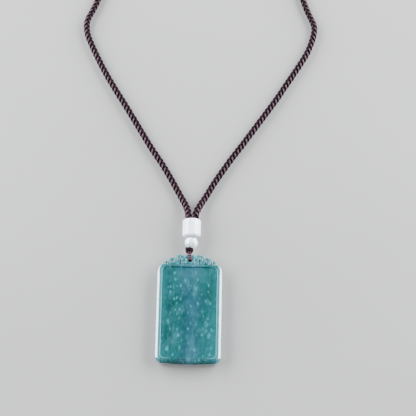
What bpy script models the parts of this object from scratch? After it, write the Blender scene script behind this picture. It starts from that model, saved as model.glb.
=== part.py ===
"""A jade plaque pendant, lying on its back, with its two white beads and its braided neck cord.

Metres, +Z up. The origin is at the middle of the plaque's flat underside, +Y runs from the plaque's
lower edge to its scalloped crest, and +Z points out of its framed front.
"""

import math

import bmesh
import bpy
from mathutils import Matrix, Vector

# Gaps and merging
GAP = 0.0003
MERGE = 0.00001

# Plaque body: a rounded slab with a raised frame around a sunk plain field
PLAQUE_WIDTH = 0.0310
BODY_LENGTH = 0.0473
PLAQUE_THICKNESS = 0.0060
LOWER_CORNER = 0.0040
LOWER_BOW = 0.0005
SHOULDER_WIDTH = 0.0030
SHOULDER_HEIGHT = 0.0046
EDGE_ROUNDING = 0.00185
TOP_EDGE_ROUNDING = 0.0005
BACK_ROUNDING = 0.0008
FRAME_WIDTH = 0.00295
TOP_FRAME_WIDTH = 0.0016
FIELD_DEPTH = 0.00055
FIELD_SLOPE = 0.00095
FIELD_CORNER = 0.0018

# Crest: seven cloud lobes, thinner than the body, with a drilled hole in the middle one
CREST_RISE = 0.0053
CREST_INSET = 0.0029
CREST_MIDDLE = 0.00335
WEB_THICKNESS = 0.0024
WEB_RISE = 0.0032
LOBE_RIM = 0.0008
HOLE_DIAMETER = 0.00165
HOLE_DROP = 0.0030
MIDDLE_LOBE_RADIUS = 0.0046
MIDDLE_LOBE_THICKNESS = 0.0037
# Each side lobe: its centre's place out along the half-crest and up the crest's rise, as shares of
# those, and its radius and thickness
SIDE_LOBES = (
    (0.377, 0.547, 0.0023, 0.0035),
    (0.667, 0.302, 0.0021, 0.0033),
    (0.873, 0.094, 0.0016, 0.0029),
)

# Volutes: a spiral groove that winds in to a small round eye, on each side lobe and beside the hole
GROOVE_DIAMETER = 0.0004
EYE_RADIUS = 0.00034
VOLUTE_TURNS = 1.15
VOLUTE_START = -75
VOLUTE_INNER_SHARE = 0.28
HOLE_TO_VOLUTE = 0.00265
MIDDLE_VOLUTE_REACH = 0.0011

# Beads, on one axis that lies a little to the right of the plaque's middle line; the round bead's
# middle stays ROUND_SEAT below the barrel's lower end, partly in its dished mouth
BEAD_AXIS_X = 0.0004
BARREL_DIAMETER = 0.0087
BARREL_LENGTH = 0.0086
BARREL_ROUNDING = 0.0010
BARREL_BORE = 0.0030
BARREL_DISH = 0.0045
ROUND_DIAMETER = 0.0063
ROUND_BORE = 0.0018
ROUND_SEAT = 0.00265

# Thin thread: the knot above the crest, a little left of the beads' axis, the loop through the hole
# and the run through the beads
THREAD_DIAMETER = 0.0009
KNOT_WIDTH = 0.0033
KNOT_LENGTH = 0.0020
KNOT_HEIGHT = 0.0034
KNOT_SHIFT = -0.0009
LOOP_BEND = 0.0010

# Braided neck cord, with a sliding knot where the two ends pass each other behind the neck
CORD_DIAMETER = 0.0028
CORD_STEP = 0.0058
SLEEVE_LENGTH = 0.0160
SLEEVE_WALL = 0.0008
SLEEVE_X = 0.0026
SLEEVE_Y = 0.23885
LANE_OFFSET = 0.00155
END_KNOT_DIAMETER = 0.0046

# Colours, linear
JADE = (0.045, 0.235, 0.235, 1.0)
WHITE_JADE = (0.86, 0.87, 0.88, 1.0)
PALE_JADE = (0.70, 0.78, 0.74, 1.0)
CORD_BROWN = (0.070, 0.018, 0.022, 1.0)

# Worked out from the sizes above
HALF_WIDTH = PLAQUE_WIDTH / 2
PLAQUE_LENGTH = BODY_LENGTH + CREST_RISE
CREST_TOP = PLAQUE_LENGTH / 2
LOWER_EDGE = -PLAQUE_LENGTH / 2
SHOULDER_LINE = LOWER_EDGE + BODY_LENGTH
CREST_HALF = HALF_WIDTH - CREST_INSET
HOLE_Y = CREST_TOP - HOLE_DROP
BEAD_AXIS_Z = BARREL_DIAMETER / 2
KNOT_X = BEAD_AXIS_X + KNOT_SHIFT
KNOT_Y = CREST_TOP + GAP + KNOT_LENGTH / 2
CREST_FRONT = CREST_MIDDLE + MIDDLE_LOBE_THICKNESS / 2
CREST_BACK = CREST_MIDDLE - MIDDLE_LOBE_THICKNESS / 2
KNOT_Z = CREST_MIDDLE + GAP
ROUND_Y = KNOT_Y + KNOT_LENGTH / 2 + GAP + ROUND_DIAMETER / 2
BARREL_LOW = ROUND_Y + ROUND_SEAT
BARREL_HIGH = BARREL_LOW + BARREL_LENGTH
SLEEVE_Z = CORD_DIAMETER / 2 + 2 * GAP + SLEEVE_WALL

# The neck cords' routes from the barrel bead, as the cord lies: down to the surface, out along the
# two sides, round behind the neck, through the sliding knot and on to the end knots
LEFT_ROUTE = (
    (-0.00116, 0.0437, 0.00435),
    (-0.0013, 0.0457, 0.0041),
    (-0.0019, 0.0483, 0.0033),
    (-0.0031, 0.0513, 0.0023),
    (-0.0048, 0.0544, 0.0016),
    (-0.0066, 0.0577, 0.0014),
    (-0.0107, 0.0649, 0.0014),
    (-0.0151, 0.0720, 0.0014),
    (-0.0200, 0.0792, 0.0014),
    (-0.0247, 0.0867, 0.0014),
    (-0.0295, 0.0945, 0.0014),
    (-0.0341, 0.1019, 0.0014),
    (-0.0388, 0.1092, 0.0014),
    (-0.0435, 0.1170, 0.0014),
    (-0.0473, 0.1240, 0.0014),
    (-0.0507, 0.1309, 0.0014),
    (-0.0534, 0.1372, 0.0014),
    (-0.0543, 0.1425, 0.0014),
    (-0.0537, 0.1462, 0.0014),
    (-0.0520, 0.1500, 0.0014),
    (-0.0499, 0.1548, 0.0014),
    (-0.0480, 0.1608, 0.0014),
    (-0.0466, 0.1678, 0.0014),
    (-0.0456, 0.1754, 0.0014),
    (-0.0446, 0.1834, 0.0014),
    (-0.0430, 0.1918, 0.0014),
    (-0.0403, 0.2006, 0.0014),
    (-0.0363, 0.2092, 0.0014),
    (-0.0311, 0.2172, 0.0014),
    (-0.0249, 0.2244, 0.0015),
    (-0.0184, 0.2307, 0.0018),
    (-0.0122, 0.2352, 0.0023),
    (-0.0060, 0.2373, 0.0028),
    (0.0026, 0.2373, 0.0028),
    (0.0112, 0.2373, 0.0028),
    (0.0165, 0.2356, 0.0023),
    (0.0210, 0.2324, 0.0018),
    (0.0246, 0.2283, 0.0017),
    (0.0273, 0.2235, 0.0019),
    (0.0288, 0.2182, 0.0021),
)
RIGHT_ROUTE = (
    (0.00196, 0.0437, 0.00435),
    (0.0021, 0.0457, 0.0041),
    (0.0029, 0.0483, 0.0033),
    (0.0045, 0.0514, 0.0023),
    (0.0064, 0.0547, 0.0016),
    (0.0110, 0.0628, 0.0014),
    (0.0148, 0.0687, 0.0014),
    (0.0192, 0.0753, 0.0014),
    (0.0234, 0.0811, 0.0014),
    (0.0280, 0.0877, 0.0014),
    (0.0367, 0.1003, 0.0014),
    (0.0410, 0.1067, 0.0014),
    (0.0450, 0.1131, 0.0014),
    (0.0489, 0.1193, 0.0014),
    (0.0526, 0.1253, 0.0014),
    (0.0558, 0.1312, 0.0014),
    (0.0581, 0.1376, 0.0014),
    (0.0590, 0.1425, 0.0014),
    (0.0585, 0.1460, 0.0014),
    (0.0567, 0.1500, 0.0014),
    (0.0547, 0.1548, 0.0014),
    (0.0528, 0.1610, 0.0014),
    (0.0515, 0.1680, 0.0014),
    (0.0505, 0.1757, 0.0014),
    (0.0495, 0.1838, 0.0014),
    (0.0479, 0.1924, 0.0014),
    (0.0453, 0.2014, 0.0014),
    (0.0415, 0.2103, 0.0014),
    (0.0364, 0.2188, 0.0014),
    (0.0310, 0.2268, 0.0015),
    (0.0253, 0.2338, 0.0018),
    (0.0185, 0.2388, 0.0023),
    (0.0112, 0.2404, 0.0028),
    (0.0026, 0.2404, 0.0028),
    (-0.0060, 0.2404, 0.0028),
    (-0.0122, 0.2412, 0.0022),
    (-0.0182, 0.2411, 0.0017),
    (-0.0240, 0.2395, 0.0017),
    (-0.0293, 0.2366, 0.0019),
    (-0.0338, 0.2326, 0.0021),
)


def clear_scene():
    for obj in list(bpy.data.objects):
        bpy.data.objects.remove(obj)


def new_collection(name, hidden):
    collection = bpy.data.collections.new(name)
    collection.hide_render = hidden
    bpy.context.scene.collection.children.link(collection)
    return collection


def principled(name, colour, roughness):
    material = bpy.data.materials.new(name)
    material.use_nodes = True
    material.diffuse_color = colour
    shader = material.node_tree.nodes["Principled BSDF"]
    shader.inputs["Base Color"].default_value = colour
    shader.inputs["Roughness"].default_value = roughness
    shader.inputs["Metallic"].default_value = 0.0
    return material


def arc(centre, radii, start, end, steps):
    """Points of an elliptical arc, its two ends included, with angles in degrees."""
    points = []
    for i in range(steps + 1):
        angle = math.radians(start + (end - start) * i / steps)
        points.append((centre[0] + radii[0] * math.cos(angle), centre[1] + radii[1] * math.sin(angle)))
    return points


def mirrored(points):
    """The same points on the other side of the plaque's middle line, in reverse order."""
    return [(-x, y) for x, y in reversed(points)]


def as_mesh(guide, name, collection):
    """A curve object as a welded closed mesh in the same place; the curve is removed."""
    bpy.context.view_layer.update()
    graph = bpy.context.evaluated_depsgraph_get()
    mesh = bpy.data.meshes.new_from_object(guide.evaluated_get(graph))
    work = bmesh.new()
    work.from_mesh(mesh)
    bmesh.ops.remove_doubles(work, verts=work.verts, dist=MERGE)
    bmesh.ops.recalc_face_normals(work, faces=work.faces)
    work.to_mesh(mesh)
    work.free()
    obj = bpy.data.objects.new(name, mesh)
    obj.matrix_world = guide.matrix_world
    collection.objects.link(obj)
    bpy.data.objects.remove(guide)
    return obj


def lofted(name, rings, collection):
    """A solid through rings of as many points each, from the lowest ring to the highest."""
    mesh = bpy.data.meshes.new(name)
    work = bmesh.new()
    loops = [[work.verts.new(point) for point in ring] for ring in rings]
    for below, above in zip(loops, loops[1:]):
        for i, corner in enumerate(below):
            j = (i + 1) % len(below)
            work.faces.new((corner, below[j], above[j], above[i]))
    work.faces.new(loops[0][::-1])
    work.faces.new(loops[-1])
    work.to_mesh(mesh)
    work.free()
    obj = bpy.data.objects.new(name, mesh)
    collection.objects.link(obj)
    return obj


def extruded(name, loops, low, high, collection):
    """A flat outline, with any further loops as holes in it, extruded along Z from low to high."""
    curve = bpy.data.curves.new(name, "CURVE")
    curve.dimensions = "2D"
    curve.fill_mode = "BOTH"
    curve.extrude = (high - low) / 2
    for loop in loops:
        spline = curve.splines.new("POLY")
        spline.points.add(len(loop) - 1)
        for point, (x, y) in zip(spline.points, loop):
            point.co = (x, y, 0, 1)
        spline.use_cyclic_u = True
    guide = bpy.data.objects.new(name + "_outline", curve)
    collection.objects.link(guide)
    guide.location.z = (low + high) / 2
    return as_mesh(guide, name, collection)


def tube(name, points, diameter, collection):
    """A thin round tube with eight sides and filled ends along the points."""
    curve = bpy.data.curves.new(name, "CURVE")
    curve.dimensions = "3D"
    curve.bevel_depth = diameter / 2
    curve.bevel_resolution = 2
    curve.use_fill_caps = True
    spline = curve.splines.new("POLY")
    spline.points.add(len(points) - 1)
    for point, place in zip(spline.points, points):
        point.co = (*place, 1)
    obj = bpy.data.objects.new(name, curve)
    collection.objects.link(obj)
    return obj


def smooth_route(points, step):
    """Points a step apart on the smooth curve (Catmull-Rom) through the route's own points."""
    route = [Vector(point) for point in points]
    route = [2 * route[0] - route[1]] + route + [2 * route[-1] - route[-2]]
    fine = []
    divisions = 24
    for a, b, c, d in zip(route, route[1:], route[2:], route[3:]):
        for i in range(divisions):
            t = i / divisions
            square = 2 * a - 5 * b + 4 * c - d
            cube = 3 * b - a - 3 * c + d
            fine.append((2 * b + (c - a) * t + square * t**2 + cube * t**3) / 2)
    fine.append(route[-2])
    lengths = [0.0]
    for a, b in zip(fine, fine[1:]):
        lengths.append(lengths[-1] + (b - a).length)
    count = max(2, round(lengths[-1] / step))
    chosen = []
    at = 0
    for i in range(count + 1):
        target = lengths[-1] * i / count
        while at < len(fine) - 2 and lengths[at + 1] < target:
            at += 1
        share = (target - lengths[at]) / (lengths[at + 1] - lengths[at])
        chosen.append(fine[at].lerp(fine[at + 1], min(1.0, share)))
    return chosen


def boolean(obj, other, operation):
    """Adds an exact Boolean with a helper object, which isn't rendered."""
    other.hide_render = True
    other.display_type = "WIRE"
    modifier = obj.modifiers.new(other.name, "BOOLEAN")
    modifier.operation = operation
    modifier.solver = "EXACT"
    modifier.object = other


def rim_bevel(obj, width, segments):
    """Rounds the upper rim of an upright disc."""
    weights = obj.data.attributes.new("bevel_weight_edge", "FLOAT", "EDGE")
    for edge in obj.data.edges:
        if all(obj.data.vertices[index].co.z > 0 for index in edge.vertices):
            weights.data[edge.index].value = 1.0
    modifier = obj.modifiers.new("Rounded rim", "BEVEL")
    modifier.width = width
    modifier.segments = segments
    modifier.limit_method = "WEIGHT"


def turned(name, profile, centre, steps, collection):
    """A ring-shaped turned solid with its axis along Y; the profile holds (radius, place along the axis)."""
    mesh = bpy.data.meshes.new(name)
    work = bmesh.new()
    corners = [work.verts.new((radius, 0, along)) for radius, along in profile]
    for a, b in zip(corners, corners[1:] + corners[:1]):
        work.edges.new((a, b))
    work.to_mesh(mesh)
    work.free()
    obj = bpy.data.objects.new(name, mesh)
    collection.objects.link(obj)
    screw = obj.modifiers.new("Turned", "SCREW")
    screw.axis = "Z"
    screw.angle = math.tau
    screw.steps = steps
    screw.render_steps = steps
    screw.use_merge_vertices = True
    screw.merge_threshold = MERGE
    screw.use_smooth_shade = True
    obj.rotation_euler.x = -math.pi / 2
    obj.location = centre
    return obj


def ball(name, centre, radii, collection):
    """A sphere stretched to these radii."""
    mesh = bpy.data.meshes.new(name)
    work = bmesh.new()
    bmesh.ops.create_uvsphere(work, u_segments=16, v_segments=9, radius=1.0)
    bmesh.ops.transform(work, matrix=Matrix.Diagonal((*radii, 1.0)), verts=work.verts)
    for face in work.faces:
        face.smooth = True
    work.to_mesh(mesh)
    work.free()
    obj = bpy.data.objects.new(name, mesh)
    obj.location = centre
    collection.objects.link(obj)
    return obj


def disc(name, centre, radius, low, high, collection):
    """A lobe of the crest, or a drill: a cylinder along Z."""
    mesh = bpy.data.meshes.new(name)
    work = bmesh.new()
    bmesh.ops.create_cone(
        work, cap_ends=True, segments=32, radius1=radius, radius2=radius, depth=high - low
    )
    work.to_mesh(mesh)
    work.free()
    obj = bpy.data.objects.new(name, mesh)
    obj.location = (*centre, (low + high) / 2)
    collection.objects.link(obj)
    return obj


def body_outline():
    """The body's outline from the middle of its lower edge, anticlockwise."""
    bow_end = HALF_WIDTH - LOWER_CORNER
    steps = 5
    lower = []
    for i in range(steps):
        x = bow_end * i / steps
        lower.append((x, LOWER_EDGE + LOWER_BOW * (x / bow_end) ** 2))
    lower_corner = arc(
        (bow_end, LOWER_EDGE + LOWER_BOW + LOWER_CORNER), (LOWER_CORNER, LOWER_CORNER), -90, 0, 7
    )
    shoulder = arc(
        (HALF_WIDTH - SHOULDER_WIDTH, SHOULDER_LINE - SHOULDER_HEIGHT),
        (SHOULDER_WIDTH, SHOULDER_HEIGHT),
        0,
        90,
        7,
    )
    right = lower + lower_corner + shoulder
    return right + mirrored(right)[:-1]


def front_rounding(y):
    """The front edge's radius: full along the sides and the foot, and small along the top."""
    share = min(1.0, max(0.0, (SHOULDER_LINE - y) / SHOULDER_HEIGHT))
    ease = share * share * (3 - 2 * share)
    return TOP_EDGE_ROUNDING + (EDGE_ROUNDING - TOP_EDGE_ROUNDING) * ease


def inset_ring(outline, depth_at, height_at):
    """The outline moved inwards by depth_at(y) at each of its points, and up to height_at(y)."""
    ring = []
    for i, (x, y) in enumerate(outline):
        before = Vector(outline[i - 1])
        after = Vector(outline[(i + 1) % len(outline)])
        along = (after - before).normalized()
        depth = depth_at(y)
        ring.append((x - along.y * depth, y + along.x * depth, height_at(y)))
    return ring


def body_rings():
    """The rounded slab's rings, from its underside round its edge to its front."""
    outline = body_outline()
    rings = []
    back_steps = 3
    for i in range(back_steps + 1):
        angle = math.radians(90 * (1 - i / back_steps))
        depth = BACK_ROUNDING * (1 - math.cos(angle))
        height = BACK_ROUNDING * (1 - math.sin(angle))
        rings.append(inset_ring(outline, lambda y: depth, lambda y: height))
    front_steps = 6
    for i in range(front_steps + 1):
        angle = math.radians(90 * i / front_steps)
        rings.append(
            inset_ring(
                outline,
                lambda y: front_rounding(y) * (1 - math.cos(angle)),
                lambda y: PLAQUE_THICKNESS - front_rounding(y) * (1 - math.sin(angle)),
            )
        )
    return rings


def field_outline(grow):
    """The sunk field's outline, grown outwards by this much."""
    half = HALF_WIDTH - FRAME_WIDTH + grow
    low = LOWER_EDGE + LOWER_BOW + FRAME_WIDTH - grow
    high = SHOULDER_LINE - TOP_FRAME_WIDTH + grow
    corner = FIELD_CORNER + grow
    lower = arc((half - corner, low + corner), (corner, corner), -90, 0, 5)
    upper = arc((half - corner, high - corner), (corner, corner), 0, 90, 5)
    right = lower + upper
    return right + mirrored(right)


def field_cutter(cutters):
    """Sinks the field: a slab whose rim slopes in from the frame's ridge to the field's edge."""
    rings = []
    for grow, z in (
        (0.0, PLAQUE_THICKNESS - FIELD_DEPTH),
        (FIELD_SLOPE, PLAQUE_THICKNESS),
        (FIELD_SLOPE, PLAQUE_THICKNESS + FIELD_DEPTH),
    ):
        rings.append([(x, y, z) for x, y in field_outline(grow)])
    return lofted("field_cutter", rings, cutters)


def lobe_places():
    """(x, y, radius, thickness, side) of the crest's lobes, from the middle outwards."""
    places = [(0.0, CREST_TOP - MIDDLE_LOBE_RADIUS, MIDDLE_LOBE_RADIUS, MIDDLE_LOBE_THICKNESS, 0)]
    for share_x, share_y, radius, thickness in SIDE_LOBES:
        for side in (-1, 1):
            x = side * share_x * CREST_HALF
            places.append((x, SHOULDER_LINE + share_y * CREST_RISE, radius, thickness, side))
    return places


def crest_web(cutters):
    """The thinner plate behind the lobes, which ties them to the body."""
    points = [(x, y) for x, y, radius, thickness, side in lobe_places() if side == 1]
    points.sort(reverse=True)
    root = SHOULDER_LINE - TOP_FRAME_WIDTH / 2
    right = [(points[0][0], root)] + points + [(0.0, SHOULDER_LINE + WEB_RISE)]
    low = CREST_MIDDLE - WEB_THICKNESS / 2
    return extruded("crest_web", [right + mirrored(right)[1:]], low, low + WEB_THICKNESS, cutters)


def volute_places():
    """(x, y, reach, front height, side) of each spiral: one on each side lobe, two beside the hole."""
    places = []
    for x, y, radius, thickness, side in lobe_places():
        front = CREST_MIDDLE + thickness / 2
        if side:
            places.append((x, y, radius - LOBE_RIM, front, side))
            continue
        for turn in (-1, 1):
            beside = turn * HOLE_TO_VOLUTE
            places.append((beside, HOLE_Y - HOLE_DIAMETER / 2, MIDDLE_VOLUTE_REACH, front, turn))
    return places


def cut_volute(plaque, name, place, cutters):
    x, y, reach, front, side = place
    steps = 16
    points = []
    for i in range(steps + 1):
        share = i / steps
        angle = math.radians(VOLUTE_START) + share * VOLUTE_TURNS * math.tau
        radius = reach * (1 - (1 - VOLUTE_INNER_SHARE) * share)
        points.append((x + side * radius * math.cos(angle), y + radius * math.sin(angle), front))
    groove = as_mesh(tube(f"{name}_line", points, GROOVE_DIAMETER, cutters), name, cutters)
    boolean(plaque, groove, "DIFFERENCE")
    boolean(plaque, ball(f"{name}_eye", (x, y, front), (EYE_RADIUS,) * 3, cutters), "DIFFERENCE")


def make_plaque(parts, cutters):
    plaque = lofted("plaque", body_rings(), parts)
    boolean(plaque, field_cutter(cutters), "DIFFERENCE")
    boolean(plaque, crest_web(cutters), "UNION")
    for i, (x, y, radius, thickness, side) in enumerate(lobe_places()):
        low = CREST_MIDDLE - thickness / 2
        lobe = disc(f"crest_lobe_{i}", (x, y), radius, low, low + thickness, cutters)
        rim_bevel(lobe, LOBE_RIM, 3)
        boolean(plaque, lobe, "UNION")
    for i, place in enumerate(volute_places()):
        cut_volute(plaque, f"volute_{i}", place, cutters)
    drill = disc("hole_drill", (0.0, HOLE_Y), HOLE_DIAMETER / 2, 0.0, PLAQUE_THICKNESS, cutters)
    boolean(plaque, drill, "DIFFERENCE")
    return plaque


def make_barrel_bead(parts):
    half = BARREL_LENGTH / 2
    radius = BARREL_DIAMETER / 2
    rounding = BARREL_ROUNDING
    dish = (BARREL_DISH - BARREL_BORE) / 2
    profile = [(BARREL_DISH / 2, half)]
    profile += arc((radius - rounding, half - rounding), (rounding, rounding), 90, 0, 4)
    profile += arc((radius - rounding, rounding - half), (rounding, rounding), 0, -90, 4)
    profile += [(BARREL_DISH / 2, -half), (BARREL_BORE / 2, dish - half), (BARREL_BORE / 2, half - dish)]
    centre = (BEAD_AXIS_X, BARREL_LOW + half, BEAD_AXIS_Z)
    return turned("barrel_bead", profile, centre, 28, parts)


def make_round_bead(parts):
    radius = ROUND_DIAMETER / 2
    mouth = math.degrees(math.acos(ROUND_BORE / ROUND_DIAMETER))
    profile = arc((0, 0), (radius, radius), mouth, -mouth, 12)
    return turned("round_bead", profile, (BEAD_AXIS_X, ROUND_Y, BEAD_AXIS_Z), 24, parts)


def make_thread(parts):
    """The straight run of thread through both beads' bores."""
    start = (BEAD_AXIS_X, ROUND_Y - ROUND_DIAMETER / 2 + 2 * GAP, BEAD_AXIS_Z)
    end = (BEAD_AXIS_X, BARREL_HIGH - GAP, BEAD_AXIS_Z)
    return tube("bead_thread", [start, end], THREAD_DIAMETER, parts)


def make_pendant_knot(parts):
    radii = (KNOT_WIDTH / 2, KNOT_LENGTH / 2, KNOT_HEIGHT / 2)
    return ball("pendant_knot", (KNOT_X, KNOT_Y, KNOT_Z), radii, parts)


def make_hanging_loop(parts):
    """One turn of thread from the knot over the crest's front, through the hole and back behind it."""
    over = CREST_FRONT + GAP + THREAD_DIAMETER / 2
    under = CREST_BACK / 2
    end_y = KNOT_Y - KNOT_LENGTH / 4
    bend_y = HOLE_Y + LOOP_BEND
    bend = (LOOP_BEND, LOOP_BEND)
    line = [(end_y, over)]
    line += arc((bend_y, over - LOOP_BEND), bend, 90, 180, 4)
    line += arc((bend_y, under + LOOP_BEND), bend, 180, 270, 4)
    line += [(CREST_TOP, under), (end_y, (under + CREST_BACK) / 2)]
    points = [(KNOT_X * (y - HOLE_Y) / (end_y - HOLE_Y), y, z) for y, z in line]
    return tube("hanging_loop", points, THREAD_DIAMETER, parts)


def make_sliding_knot(parts):
    """The wrapped sleeve that both cords slide through: a flat-oval tube along X."""
    bore = CORD_DIAMETER / 2 + GAP
    outer = bore + SLEEVE_WALL
    loops = []
    for radius in (outer, bore):
        right = arc((LANE_OFFSET, 0.0), (radius, radius), -90, 90, 8)
        loops.append(right + mirrored(right))
    sleeve = extruded("sliding_knot", loops, -SLEEVE_LENGTH / 2, SLEEVE_LENGTH / 2, parts)
    # The outline's X becomes Y, and the length runs along X
    turn = Matrix(((0, 0, 1), (1, 0, 0), (0, 1, 0))).to_4x4()
    sleeve.data.transform(turn)
    sleeve.matrix_world = Matrix.Translation((SLEEVE_X, SLEEVE_Y, SLEEVE_Z))
    return sleeve


def make_end_knot(name, route, parts):
    """The stop knot on a cord's end, lying on the surface just past the end of its tube."""
    last, before = Vector(route[-1]), Vector(route[-2])
    direction = (last - before).normalized()
    radius = END_KNOT_DIAMETER / 2
    centre = last + direction * (radius + GAP)
    return ball(name, (centre.x, centre.y, radius), (radius, radius, radius), parts)


def main():
    clear_scene()
    parts = new_collection("jade_plaque", hidden=False)
    cutters = new_collection("cutters", hidden=True)
    jade = principled("jade", JADE, 0.12)
    white = principled("white_jade", WHITE_JADE, 0.10)
    pale = principled("pale_jade", PALE_JADE, 0.10)
    cord = principled("braided_cord", CORD_BROWN, 0.65)

    pieces = [
        (make_plaque(parts, cutters), jade),
        (make_barrel_bead(parts), white),
        (make_round_bead(parts), pale),
        (make_thread(parts), cord),
        (make_pendant_knot(parts), cord),
        (make_hanging_loop(parts), cord),
        (make_sliding_knot(parts), cord),
    ]
    for side, route in (("left", LEFT_ROUTE), ("right", RIGHT_ROUTE)):
        line = smooth_route(route, CORD_STEP)
        pieces.append((tube(f"necklace_cord_{side}", line, CORD_DIAMETER, parts), cord))
        pieces.append((make_end_knot(f"end_knot_{side}", route, parts), cord))
    for obj, material in pieces:
        obj.data.materials.clear()
        obj.data.materials.append(material)


main()
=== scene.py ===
"""The looks of the jade plaque pendant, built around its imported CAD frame.

Metres, +Z up. The pendant lies on its back on a pale floor, and the camera looks down on it.
Colours are linear red, green and blue. A share goes from 0 to 1.
"""

import math

import bpy
import numpy as np
from mathutils import Matrix, Vector


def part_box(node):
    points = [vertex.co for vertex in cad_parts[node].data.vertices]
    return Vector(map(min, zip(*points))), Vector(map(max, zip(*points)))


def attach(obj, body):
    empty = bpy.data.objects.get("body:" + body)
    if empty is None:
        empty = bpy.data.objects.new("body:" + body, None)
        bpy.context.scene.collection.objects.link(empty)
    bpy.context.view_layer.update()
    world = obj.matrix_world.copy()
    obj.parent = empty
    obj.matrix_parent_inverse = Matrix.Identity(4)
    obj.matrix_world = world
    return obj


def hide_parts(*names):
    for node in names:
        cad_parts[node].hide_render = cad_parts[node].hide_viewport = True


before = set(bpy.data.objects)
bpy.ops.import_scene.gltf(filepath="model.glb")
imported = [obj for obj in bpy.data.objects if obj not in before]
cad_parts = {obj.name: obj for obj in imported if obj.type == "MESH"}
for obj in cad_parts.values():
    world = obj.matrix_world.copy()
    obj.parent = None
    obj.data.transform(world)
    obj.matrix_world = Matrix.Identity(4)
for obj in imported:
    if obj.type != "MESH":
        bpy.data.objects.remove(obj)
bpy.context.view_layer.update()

# Camera
CAMERA_PLACE = (0.00793, -0.11483, 0.61650)
CAMERA_ELEVATION = 75
CAMERA_ROLL = 1.2
CAMERA_LENS = 114.8
CAMERA_CLIP = (0.01, 20)

# Lights: a large soft panel on each side, a weak one beyond the pendant, and a dim room
PANEL_PLACE = (0.55, 0.32, 0.31)
PANEL_AIM = (0.0, 0.16, 0.10)
PANEL_SIZE = (1.1, 0.60)
PANEL_POWER = 45.0
PANEL_COLOUR = (0.90, 0.955, 1.0)
FAR_PANEL = {"place": (0.0, 0.95, 0.30), "aim": (0.0, 0.05, 0.05), "size": (0.9, 0.30), "power": 1.5}
ROOM_COLOUR = (0.80, 0.84, 0.90, 1.0)
ROOM_STRENGTH = 0.15

# Floor, just under the pendant
FLOOR_HALF = 3.0
FLOOR_GAP = 0.00003

# Plaque body, with its width, length and thickness from the frame
plaque_low, plaque_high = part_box("plaque")
HALF_WIDTH = plaque_high.x
LOWER_EDGE = plaque_low.y
CREST_TOP = plaque_high.y
THICKNESS = plaque_high.z
CREST_RISE = 0.0053
SHOULDER_LINE = CREST_TOP - CREST_RISE
LOWER_CORNER = 0.0040
LOWER_BOW = 0.0005
SHOULDER_WIDTH = 0.0030
SHOULDER_HEIGHT = 0.0046
# The front edge is a soft bevel: its width, and its tilt in degrees at shares of that width
EDGE_WIDTH = 0.00185
TOP_EDGE_WIDTH = 0.0005
EDGE_TILTS = ((0.0, 84.0), (0.07, 50.0), (0.73, 18.0), (1.0, 0.0))
BACK_ROUNDING = 0.0008
EDGE_FOOT_STEPS = 8
EDGE_STEPS = 16
BACK_STEPS = 6
BOW_STEPS = 12
CORNER_STEPS = 18
FRAME_WIDTH = 0.00262
TOP_FRAME_WIDTH = 0.00125
FIELD_DEPTH = 0.00046
FIELD_SLOPE = 0.00024
FIELD_CORNER = 0.0018
FIELD_LEVEL = THICKNESS - FIELD_DEPTH
FIELD_SIDE = HALF_WIDTH - FRAME_WIDTH
FIELD_TOP = SHOULDER_LINE - TOP_FRAME_WIDTH
FIELD_FOOT = LOWER_EDGE + LOWER_BOW + FRAME_WIDTH

# Crest
CREST_HALF = HALF_WIDTH - 0.0029
CREST_MIDDLE = 0.00335
WEB_THICKNESS = 0.0024
WEB_RISE = 0.0032
LOBE_RIM = 0.0008
LOBE_DOME = 0.00012
LOBE_BACK_ROUNDING = 0.0003
LOBE_RING_STEP = 0.00007
LOBE_SEGMENTS = 120
MIDDLE_LOBE_SEGMENTS = 192
HOLE_DIAMETER = 0.00165
HOLE_FLARE = 0.00040
HOLE_FLARE_ANGLES = (0.0, 0.4, 0.8, 1.2, math.pi / 2)
HOLE_SEGMENTS = 64
DRILL_OVERLAP = 0.0004
HOLE_Y = CREST_TOP - 0.0030
MIDDLE_LOBE_RADIUS = 0.0046
MIDDLE_LOBE_THICKNESS = 0.0037
# Each side lobe: its centre's place out along the half-crest and up the crest's rise, as shares of
# those, and its radius and thickness
SIDE_LOBES = (
    (0.377, 0.440, 0.00290, 0.0035),
    (0.667, 0.195, 0.00268, 0.0033),
    (0.873, 0.000, 0.00210, 0.0029),
)

# Volutes: a spiral groove that winds in to a small round eye. On a side lobe, its reach and its rise
# above the lobe's middle are shares of the lobe's radius. It starts at an angle in degrees.
GROOVE_HALF_WIDTH = 0.00026
GROOVE_DEPTH = 0.00015
EYE_HALF_WIDTH = 0.00038
EYE_DEPTH = 0.00020
VOLUTE_SHARE = 0.52
VOLUTE_RISE_SHARE = 0.25
VOLUTE_TURNS = 1.15
VOLUTE_START = -75
VOLUTE_INNER_SHARE = 0.28
VOLUTE_POINTS = 160
HOLE_TO_VOLUTE = 0.00265
MIDDLE_VOLUTE_REACH = 0.0011

# Where the crest's colour is darker, with painted shade in the seams between lobes and the spirals, and
# lighter, with a painted highlight on a band just inside each lobe's rim
SEAM_HALF_WIDTH = 0.00028
RIM_INSET = 0.00050
RIM_HALF_WIDTH = 0.00045
SPIRAL_SHADE = 0.50
LEAST_CUT_SHADE = 0.05

# Edges that bend by more degrees than this stay crisp
CARVING_SHARP_ANGLE = 38
BEAD_SHARP_ANGLE = 40

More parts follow.
